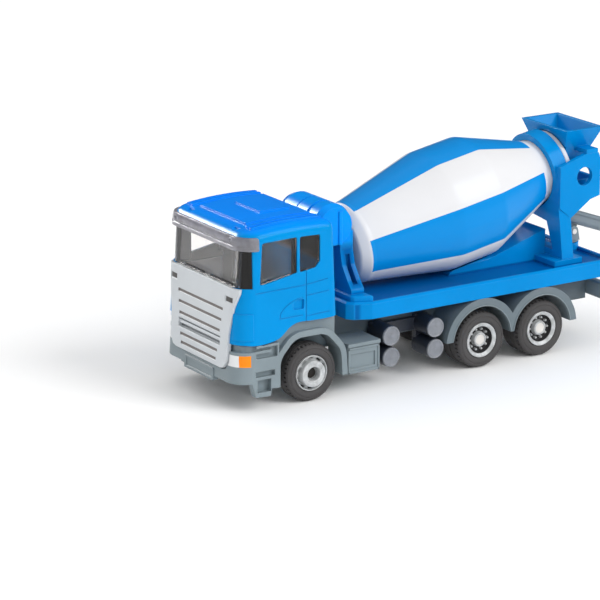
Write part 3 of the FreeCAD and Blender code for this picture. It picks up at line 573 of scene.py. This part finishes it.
def drumWhite():
    material, tree, shader, effect = newMaterial(
        "drumWhite", coat=0.08, coatRoughness=0.08, specular=0.2, tint=(0.6, 0.8, 1, 1),
        EdgeColour=(0.95, 0.95, 0.96, 1), EdgeAmount=0.2, Drift=0.02,
        Roughness=0.3, RoughDrift=0.05, GrainSize=1200.0, GrainHeight=0.05)
    # angle about the drum's own axis, counted from the truck's left-hand side, and distance along it
    drumJoint = joints["drum_turn"]
    axis = Vector(drumJoint["axis"])
    tilt = math.atan2(axis.z, axis.y)
    place = tree.nodes.new("ShaderNodeTexCoord")
    local = tree.nodes.new("ShaderNodeMapping")
    local.vector_type = "TEXTURE"
    local.inputs["Location"].default_value = drumJoint["pos_m"]
    local.inputs["Rotation"].default_value = (tilt, 0, 0)
    parts = tree.nodes.new("ShaderNodeSeparateXYZ")
    turn = tree.nodes.new("ShaderNodeMath")
    turn.operation = "ARCTAN2"
    share = tree.nodes.new("ShaderNodeMath")
    share.operation = "MULTIPLY_ADD"
    share.inputs[1].default_value = 0.5 / math.pi
    share.inputs[2].default_value = 0.5
    stripes = tree.nodes.new("ShaderNodeValToRGB")
    stripes.color_ramp.interpolation = "CONSTANT"
    blue, white, edges = drumPaint["blue"], drumPaint["white"], drumPaint["edges"]
    ramp = stripes.color_ramp
    ramp.elements[0].position = 0
    ramp.elements[0].color = blue
    ramp.elements[1].position = (edges[0] + 180) / 360
    ramp.elements[1].color = white
    for index, angle in enumerate(edges[1:]):
        stop = ramp.elements.new((angle + 180) / 360)
        stop.color = blue if index % 2 == 0 else white
    along = tree.nodes.new("ShaderNodeMath")
    along.operation = "GREATER_THAN"
    along.inputs[1].default_value = 0.0
    before = tree.nodes.new("ShaderNodeMath")
    before.operation = "LESS_THAN"
    before.inputs[1].default_value = drumPaint["stripesEnd"] * mm
    both = tree.nodes.new("ShaderNodeMath")
    both.operation = "MULTIPLY"
    link(tree, place.outputs["Object"], local.inputs["Vector"])
    link(tree, local.outputs["Vector"], parts.inputs["Vector"])
    link(tree, parts.outputs["Z"], turn.inputs[0])
    link(tree, parts.outputs["X"], turn.inputs[1])
    link(tree, turn.outputs["Value"], share.inputs[0])
    link(tree, share.outputs["Value"], stripes.inputs["Fac"])
    link(tree, parts.outputs["Y"], along.inputs[0])
    link(tree, parts.outputs["Y"], before.inputs[0])
    link(tree, along.outputs["Value"], both.inputs[0])
    link(tree, before.outputs["Value"], both.inputs[1])
    striped = mixColour(tree, both.outputs["Value"], white, stripes.outputs["Color"])
    link(tree, striped, effect.inputs["Colour"])
    return material


def tyreRubber():
    return newMaterial(
        "tyreRubber", specular=0.35, Colour=(0.07, 0.067, 0.068, 1), EdgeColour=(0.14, 0.13, 0.13, 1),
        EdgeAmount=0.5, Drift=0.2, Roughness=0.62, RoughDrift=0.2, GrainSize=4000.0, GrainHeight=0.5)[0]


def rimSilver():
    material, tree, shader, effect = newMaterial(
        "rimSilver", Colour=(0.60, 0.62, 0.63, 1), EdgeColour=(0.9, 0.9, 0.9, 1), EdgeAmount=0.8, Drift=0.4,
        DriftSize=900.0, Roughness=0.34, RoughDrift=0.2, GrainSize=2500.0, GrainHeight=0.5)
    shader.inputs["Metallic"].default_value = 0.15
    return material


axleSteel = {
    "bright": (0.84, 0.81, 0.77, 1),
    "blackened": (0.012, 0.009, 0.007, 1),
    # painted shade: the front axle ends, sunk in the rims' bores, are darkened
    "frontEnds": ((13.0, -3, 0), (20, 3, 12), 0.2),
}


def brightSteel():
    material, tree, shader, effect = newMaterial(
        "brightSteel", EdgeColour=(0.8, 0.78, 0.75, 1), EdgeAmount=0.5, Drift=0.2,
        Roughness=0.28, RoughDrift=0.2, GrainSize=3000.0, GrainHeight=0.3)
    shader.inputs["Metallic"].default_value = 0.3
    sunk = region(tree, *axleSteel["frontEnds"])
    link(tree, mixColour(tree, sunk, axleSteel["bright"], axleSteel["blackened"]), effect.inputs["Colour"])
    return material


# near-black: painted shade in the rims' pockets and dish, and the wipers' own black
def darkRecess():
    return newMaterial(
        "darkRecess", specular=0.2, Colour=(0.035, 0.034, 0.036, 1), EdgeColour=(0.3, 0.3, 0.3, 1),
        EdgeAmount=0.6, Drift=0.3, Roughness=0.5, RoughDrift=0.2, GrainSize=3000.0, GrainHeight=0.4)[0]


def frostedCap():
    return newMaterial(
        # the strong pale rim is mostly a painted highlight
        "frostedCap", coat=0.2, Colour=(0.22, 0.235, 0.265, 1), EdgeColour=(0.62, 0.64, 0.7, 1),
        EdgeAmount=0.9, Drift=0.25, DriftSize=700.0, Roughness=0.3, RoughDrift=0.2, GrainSize=3500.0,
        GrainHeight=0.5)[0]


# near-black finish for the painted-shade posts
def postTrim():
    return newMaterial(
        "postTrim", specular=0.3, Colour=(0.006, 0.012, 0.03, 1), EdgeColour=(0.01, 0.06, 0.2, 1),
        EdgeAmount=0.5, Drift=0.3, Roughness=0.3, RoughDrift=0.2, GrainSize=1500.0, GrainHeight=0.2)[0]


finishes = {
    "cab_blue": cabEnamel(), "mixer_blue": mixerBlue(),
    "bumper_grey": greyPlastic("bumperPlastic", (0.215, 0.265, 0.29, 1)), "chassis_grey": chassisPlastic(),
    "tank_grey": tankPlastic(), "chute_grey": greyPlastic("chutePlastic", (0.2, 0.245, 0.275, 1)),
    "grille_silver": grilleSilver(), "smoke_clear": smokeGlass(), "visor_clear": visorPlastic(),
    "drum_white": drumWhite(), "tyre_rubber": tyreRubber(), "rim_silver": rimSilver(), "steel": brightSteel(),
}
trimFinish = postTrim()
capFinish = frostedCap()
# a darker copy of the bumper grey for the mudguards: painted shade
shadedGuard = greyPlastic("guardPlastic", (0.15, 0.19, 0.215, 1))
recessFinish = darkRecess()
for part in frame["record"]["subparts"]:
    mesh = nodes[part["node"]].data
    mesh.materials.clear()
    guard = part["node"].startswith("mudguard")
    mesh.materials.append(shadedGuard if guard else finishes[part["material_slot"]])
print("finishes ready")


# ---------- modelled pieces

def finishPiece(bm, name, slotName, body, replaced=(), sharpAngle=35, finish=None, extra=None):
    bmesh.ops.recalc_face_normals(bm, faces=bm.faces)
    for face in bm.faces:
        face.smooth = True
    for edge in bm.edges:
        if len(edge.link_faces) == 2 and edge.calc_face_angle() > math.radians(sharpAngle):
            edge.smooth = False
    mesh = bpy.data.meshes.new(name)
    bm.to_mesh(mesh)
    bm.free()
    piece = bpy.data.objects.new(name, mesh)
    bpy.context.scene.collection.objects.link(piece)
    mesh.materials.append(finish or finishes[slotName])
    if extra:
        mesh.materials.append(extra)
    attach(piece, body)
    if replaced:
        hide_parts(*replaced)


def spun(profile, origin, axis, outward, steps):
    # a closed outline of (along, radius) points in millimetres, turned fully about the axis
    bm = bmesh.new()
    ring = [bm.verts.new(origin + (axis * along + outward * radius) * mm) for along, radius in profile]
    edges = [bm.edges.new((ring[i - 1], ring[i])) for i in range(len(ring))]
    bmesh.ops.spin(bm, geom=ring + edges, cent=origin, axis=axis, angle=2 * math.pi, steps=steps,
                   use_merge=True)
    bmesh.ops.remove_doubles(bm, verts=bm.verts, dist=0.001 * mm)
    bmesh.ops.recalc_face_normals(bm, faces=bm.faces)
    return bm


def turnOf(point, origin):  # angle about a wheel's axle
    return math.atan2(point.z - origin.z, point.y - origin.y)


wheel = {
    "faceX": 14.3,
    "steps": 120,
    "frontWidth": 4.2,
    "rearWidth": 6.6,
    "twinWidth": 5,  # a tyre wider than this is a pair, with a groove in the middle
    "treadBand": (0.5, 1.3),  # in from either edge
    "treadGap": 3,  # every third block edge is cut
    "treadInset": 0.05,
    "treadDepth": 0.22,
    "boreRadius": 1.12,
    "pockets": 10,
    "pocketSteps": (2, 9),
    "pocketDepth": 0.4,
    "pocketInset": 0.04,
    "dishDepth": 0.75,
    "dishRadii": (2.84, 3.3),
    "recessDepths": (0.4, 1.5),
    "recessRadii": (1.7, 2.95),
    "lugs": 10,
    "lugCircle": 2.25,
    "lugDepth": 1.25,
    "lugSize": (0.34, 0.2, 0.6),  # foot radius, tip radius, height
    "lugSides": 10,
}


def tyreProfile(width):
    outer = [(0.35, 3.72), (0.1, 3.95), (0.0, 4.2), (-0.03, 4.6), (0.0, 4.95), (0.1, 5.0), (0.1, 5.1),
             (0.0, 5.16), (0.05, 5.35), (0.22, 5.6), (0.3, 5.62), (0.5, 5.84), (0.85, 5.98)]
    crown = [(1.3, 6.0), (1.4, 5.86), (1.55, 5.86), (1.65, 6.0)]
    middle = [(width / 2 - 0.3, 6.0), (width / 2 - 0.2, 5.5), (width / 2 + 0.2, 5.5), (width / 2 + 0.3, 6.0)]
    far = [(width - along, radius) for along, radius in reversed(outer + crown)]
    twin = middle if width > wheel["twinWidth"] else []
    return [(-along, radius) for along, radius in outer + crown + twin + far]


def wheelOrigin(node):
    return Vector((0, centreOf(node).y, wheelCentreZ * mm))


def wheelSpun(outline, origin, side):
    profile = [(wheel["faceX"] + along, radius) for along, radius in outline]
    return spun(profile, origin, Vector((side, 0, 0)), Vector((0, 0, 1)), wheel["steps"])


def stepOf(place, origin):  # which step of the spin a face came from
    return round((turnOf(place, origin) / (2 * math.pi)) * wheel["steps"] - 0.5)


def reachOf(place, origin):  # millimetres from the axle's line
    return math.hypot(place.y - origin.y, place.z - origin.z) / mm


def makeTyre(name, node, body, side, width):
    origin = wheelOrigin(node)
    bm = wheelSpun(tyreProfile(width), origin, side)
    innerEdge, outerEdge = wheel["treadBand"]
    blocks = []
    for face in bm.faces:
        place = face.calc_center_median()
        across = abs(place.x) / mm
        edgeGap = min(wheel["faceX"] - across, across - (wheel["faceX"] - width))
        if innerEdge < edgeGap < outerEdge and stepOf(place, origin) % wheel["treadGap"] == 0:
            blocks.append(face)
    bmesh.ops.inset_individual(bm, faces=blocks, thickness=wheel["treadInset"] * mm,
                               depth=-wheel["treadDepth"] * mm)
    finishPiece(bm, name, "tyre_rubber", body, (node,), 28)


def makeFrontRim(name, node, body, side):
    origin = wheelOrigin(node)
    width, bore = wheel["frontWidth"], wheel["boreRadius"]
    outline = [(-width, bore), (-width, 3.68), (-0.06, 3.68), (0.0, 3.62), (0.0, 3.5), (-0.12, 3.42),
               (-0.45, 3.3), (-0.55, 3.24), (-0.68, 2.86), (-0.6, 2.78), (0.3, 2.76), (0.62, 2.74),
               (0.76, 2.66), (0.8, 2.52), (0.8, 2.05), (0.74, 1.95), (0.76, 1.85), (0.8, 1.65),
               (0.74, 1.5), (0.6, 1.45), (-0.8, 1.45), (-0.8, bore)]
    bm = wheelSpun(outline, origin, side)
    stepsEach = wheel["steps"] // wheel["pockets"]
    first, end = wheel["pocketSteps"]
    inner, outer = wheel["dishRadii"]
    for pocket in range(wheel["pockets"]):
        chosen = []
        for face in bm.faces:
            place = face.calc_center_median()
            step = stepOf(place, origin) % wheel["steps"]
            outside = abs(place.x) > (wheel["faceX"] - wheel["dishDepth"]) * mm
            onDish = outside and inner < reachOf(place, origin) < outer
            if onDish and pocket * stepsEach + first <= step < pocket * stepsEach + end:
                chosen.append(face)
        bmesh.ops.inset_region(bm, faces=chosen, thickness=wheel["pocketInset"] * mm,
                               depth=-wheel["pocketDepth"] * mm, use_even_offset=True)
        # the pocket floors take the painted shade
        for face in chosen:
            face.material_index = 1
    finishPiece(bm, name, "rim_silver", body, (node,), 30, extra=recessFinish)


def makeRearRim(name, node, body, side):
    origin = wheelOrigin(node)
    width, bore = wheel["rearWidth"], wheel["boreRadius"]
    outline = [(-width, bore), (-width, 3.68), (-0.06, 3.68), (0.0, 3.6), (-0.03, 3.45), (-0.3, 2.95),
               (-0.42, 2.9), (-1.25, 2.8), (-1.4, 2.7), (-1.45, 1.75), (-1.4, 1.68), (-0.6, 1.5),
               (-0.5, 1.4), (-0.52, bore)]
    bm = wheelSpun(outline, origin, side)
    # the dish recess takes the painted shade
    shallow, deep = wheel["recessDepths"]
    inner, outer = wheel["recessRadii"]
    for face in bm.faces:
        place = face.calc_center_median()
        depth = wheel["faceX"] - abs(place.x) / mm
        if shallow < depth < deep and inner < reachOf(place, origin) < outer:
            face.material_index = 1
    circle, (foot, tip, height) = wheel["lugCircle"], wheel["lugSize"]
    x = side * (wheel["faceX"] - wheel["lugDepth"])
    for lug in range(wheel["lugs"]):
        turn = 2 * math.pi * lug / wheel["lugs"]
        spot = origin + Vector((x, circle * math.cos(turn), circle * math.sin(turn))) * mm
        bmesh.ops.create_cone(bm, cap_ends=True, segments=wheel["lugSides"], radius1=foot * mm,
                              radius2=tip * mm, depth=height * mm,
                              matrix=Matrix.Translation(spot) @ Matrix.Rotation(side * math.pi / 2, 4, "Y"))
    finishPiece(bm, name, "rim_silver", body, (node,), 30, extra=recessFinish)


for row, body in (("front", "front_wheels"), ("middle", "middle_wheels"), ("rear", "rear_wheels")):
    for sideName, side in (("left", 1), ("right", -1)):
        tyreWidth = wheel["frontWidth"] if row == "front" else wheel["rearWidth"]
        makeTyre(row + "Tyre" + sideName.title(), row + "_tyre_" + sideName, body, side, tyreWidth)
        makeRim = makeFrontRim if row == "front" else makeRearRim
        makeRim(row + "Rim" + sideName.title(), row + "_rim_" + sideName, body, side)
print("wheels ready")

drum = {
    "steps": 180,
    "outline": [(-1.84, 7.25), (-1.8, 7.35), (-0.95, 8.1), (-0.45, 8.45), (-0.25, 8.6), (0.0, 8.68),
                (0.45, 8.76), (0.75, 8.74), (1.0, 8.79), (19.7, 12.84), (20.3, 12.95), (21.0, 13.0),
                (30.5, 13.0), (31.1, 12.94), (31.7, 12.72),
                (46.7, 7.02), (47.1, 6.9), (51.5, 6.9), (51.5, 7.5), (51.6, 7.6), (52.4, 7.6),
                (52.5, 7.5), (52.5, 5.8), (47, 5.8), (31, 11.9), (20.5, 11.9), (1.0, 7.5), (0.4, 6.25),
                (-0.64, 6.25), (-0.64, 7.25)],
    "mouldLine": -7,  # degrees about the drum
    "mouldRise": 0.045,
    "mouldRadius": 8.7,  # only the outer skin beyond this
    "mouldSpan": (1.0, 46),
}


def makeDrum():
    turn = joints["drum_turn"]
    origin, axis = Vector(turn["pos_m"]), Vector(turn["axis"]).normalized()
    sideways = Vector((1, 0, 0))
    up = axis.cross(-sideways)
    front, back = drum["mouldSpan"]
    bm = spun(drum["outline"], origin, axis, sideways, drum["steps"])
    for vert in bm.verts:
        place = vert.co - origin
        around = place - axis * place.dot(axis)
        turned = math.degrees(math.atan2(around.dot(up), around.dot(sideways)))
        outside = drum["mouldRadius"] < around.length / mm and front < place.dot(axis) / mm < back
        if abs(turned - drum["mouldLine"]) < 1 and outside:
            vert.co += around.normalized() * drum["mouldRise"] * mm
    finishPiece(bm, "mixerDrum", "drum_white", "drum", ("drum_shell",), 25)


makeDrum()
print("drum ready")

visor = {
    "ribCount": 28,
    "ribHalfX": 8.9,
    "ribSize": (0.3, 0.22, 0.42),
    "ribBevel": 0.06,
    "ribPlace": (-16.68, 34.42),
    "ringPlaces": ((-10.5, -16.62, 35.2), (10.5, -16.62, 35.2)),
    "ringSteps": 32,
    "ringOutline": [(0.0, 0.62), (-0.14, 0.6), (-0.2, 0.5), (-0.14, 0.38), (0.0, 0.36), (0.2, 0.36),
                    (0.2, 0.62)],
}


def addBlock(bm, place, size, bevel):
    # a bevelled bar, centred on a place counted in millimetres from the front axle
    made = bmesh.ops.create_cube(bm, size=1.0)["verts"]
    bmesh.ops.scale(bm, vec=Vector(size) * mm, verts=made)
    bmesh.ops.translate(bm, vec=at(*place), verts=made)
    edges = list({edge for vert in made for edge in vert.link_edges})
    bmesh.ops.bevel(bm, geom=edges, offset=bevel * mm, segments=2, profile=0.5, affect="EDGES", material=-1)


def makeVisorDetail():
    bm = bmesh.new()
    y, z = visor["ribPlace"]
    for rib in range(visor["ribCount"]):
        x = visor["ribHalfX"] * (2 * rib / (visor["ribCount"] - 1) - 1)
        addBlock(bm, (x, y, z), visor["ribSize"], visor["ribBevel"])
    finishPiece(bm, "visorRibs", "visor_clear", "truck")
    for index, place in enumerate(visor["ringPlaces"]):
        bm = spun(visor["ringOutline"], at(*place), Vector((0, 1, 0)), Vector((0, 0, 1)), visor["ringSteps"])
        finishPiece(bm, "visorLampRing" + str(index + 1), "visor_clear", "truck")


makeVisorDetail()

wiper = {
    "arms": ((-7.3, -0.1), (2.6, 11.0)),
    "place": (-16.5, 26.22),
    "bar": (0.2, 0.3),
    "barBevel": 0.06,
    "toothPitch": 0.55,
    "tooth": (0.24, 0.26, 0.42),
    "toothStart": 0.15,
    "toothRaise": 0.05,
    "toothBevel": 0.05,
}


def makeWipers():
    y, z = wiper["place"]
    for index, (start, end) in enumerate(wiper["arms"]):
        bm = bmesh.new()
        addBlock(bm, ((start + end) / 2, y, z), (end - start, *wiper["bar"]), wiper["barBevel"])
        for tooth in range(int((end - start) / wiper["toothPitch"]) + 1):
            x = start + wiper["toothStart"] + tooth * wiper["toothPitch"]
            addBlock(bm, (x, y, z + wiper["toothRaise"]), wiper["tooth"], wiper["toothBevel"])
        finishPiece(bm, "wiper" + str(index + 1), "tyre_rubber", "truck", finish=recessFinish)


makeWipers()

# dark blocks that put painted shade inside the cab
trim = {
    "posts": {  # centre, size
        "pillar": ((12.15, -13.4, 30.2), (0.7, 4.0, 9.6)),
        "rail": ((12.5, -3.35, 30.6), (0.25, 1.5, 9.0)),
    },
    "bevel": 0.12,
}


def makeTrims():
    # dark posts inside the cab, seen through its windows: painted shade
    for sideName, side in (("Left", 1), ("Right", -1)):
        for name, ((x, y, z), size) in trim["posts"].items():
            bm = bmesh.new()
            addBlock(bm, (side * x, y, z), size, trim["bevel"])
            finishPiece(bm, name + "Trim" + sideName, "cab_blue", "truck", finish=trimFinish)


makeTrims()
print("visor, wipers and cab trim ready")

stepBox = {
    "rim": 0.42,
    "inset": 0.3,  # in from the box's front, back and bottom edges
    "topInset": 1.15,
    "proud": (14.33, 14.62),
    "bevel": 0.1,
}


def frameOutline(bm, low, high, thickness, x0, x1, bevel):
    # a raised picture frame standing on a side face: four bars, bevelled
    (y0, z0), (y1, z1) = low, high
    xMiddle, xSize = (x0 + x1) / 2, abs(x1 - x0)
    for z in (z0, z1):
        addBlock(bm, (xMiddle, (y0 + y1) / 2, z), (xSize, y1 - y0 + thickness, thickness), bevel)
    for y in (y0, y1):
        addBlock(bm, (xMiddle, y, (z0 + z1) / 2), (xSize, thickness, z1 - z0 + thickness), bevel)


def makeStepFrames():
    for sideName, side in (("left", 1), ("right", -1)):
        low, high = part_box("step_box_" + sideName)
        y0, y1 = low.y / mm - frontAxleY, high.y / mm - frontAxleY
        inset, (inner, outer) = stepBox["inset"], stepBox["proud"]
        bm = bmesh.new()
        frameOutline(bm, (y0 + inset, low.z / mm + inset), (y1 - inset, high.z / mm - stepBox["topInset"]),
                     stepBox["rim"], side * inner, side * outer, stepBox["bevel"])
        finishPiece(bm, "stepBoxRim" + sideName.title(), "bumper_grey", "truck")


makeStepFrames()

guardLip = {
    "radii": (7.32, 7.62),
    "x": (14.05, 14.62),
    "start": 8,  # degrees above the level of the axle, at the rear
    "sweep": 164,  # degrees from there round to the front
    "taper": 0.06,
    "steps": 48,
}


def makeGuardLips():
    # the thin raised lip round each rear wheel opening
    for row in ("middle", "rear"):
        origin = Vector((0, centreOf(row + "_axle").y, wheelCentreZ * mm))
        for sideName, side in (("Left", 1), ("Right", -1)):
            bm = bmesh.new()
            (inner, outer), (x0, x1) = guardLip["radii"], guardLip["x"]
            taper = guardLip["taper"]
            corners = [(x0, inner), (x1, inner + taper), (x1, outer - taper), (x0, outer)]
            ring = []
            start = math.radians(guardLip["start"])
            for x, radius in corners:
                spot = Vector((side * x, radius * math.cos(start), radius * math.sin(start))) * mm
                ring.append(bm.verts.new(origin + spot))
            face = bm.faces.new(ring)
            bmesh.ops.spin(bm, geom=[face] + list(face.edges) + ring, cent=origin, axis=Vector((1, 0, 0)),
                           angle=math.radians(guardLip["sweep"]), steps=guardLip["steps"])
            finishPiece(bm, row + "GuardLip" + sideName, "bumper_grey", "truck")


makeGuardLips()

tankCap = {
    "outline": [(0.0, 2.0), (0.12, 2.06), (0.3, 2.0), (0.36, 1.8), (0.26, 1.68), (0.2, 1.5), (0.2, 0.25),
                (0.28, 0.12), (0.28, 0.02), (0.0, 0.02)],
    "baseX": 13.42,
    "columnRadius": 2.08,
    "heights": (10.4, 5.85),
    "steps": 40,
    "sharpAngle": 50,
}


def makeTankCaps():
    # pale dished end caps with a raised rim
    for sideName, side in (("left", 1), ("right", -1)):
        low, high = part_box("air_tanks_" + sideName)
        ends = (low.y / mm + tankCap["columnRadius"], high.y / mm - tankCap["columnRadius"])
        for column, y in enumerate(ends):
            for level, z in enumerate(tankCap["heights"]):
                origin = Vector((side * tankCap["baseX"] * mm, y * mm, z * mm))
                bm = spun(tankCap["outline"], origin, Vector((side, 0, 0)), Vector((0, 0, 1)),
                          tankCap["steps"])
                finishPiece(bm, "tankCap{}{}{}".format(sideName.title(), column + 1, level + 1), "tank_grey",
                            "truck", sharpAngle=tankCap["sharpAngle"], finish=capFinish)


makeTankCaps()
print("step frames, guard lips and tank caps ready")
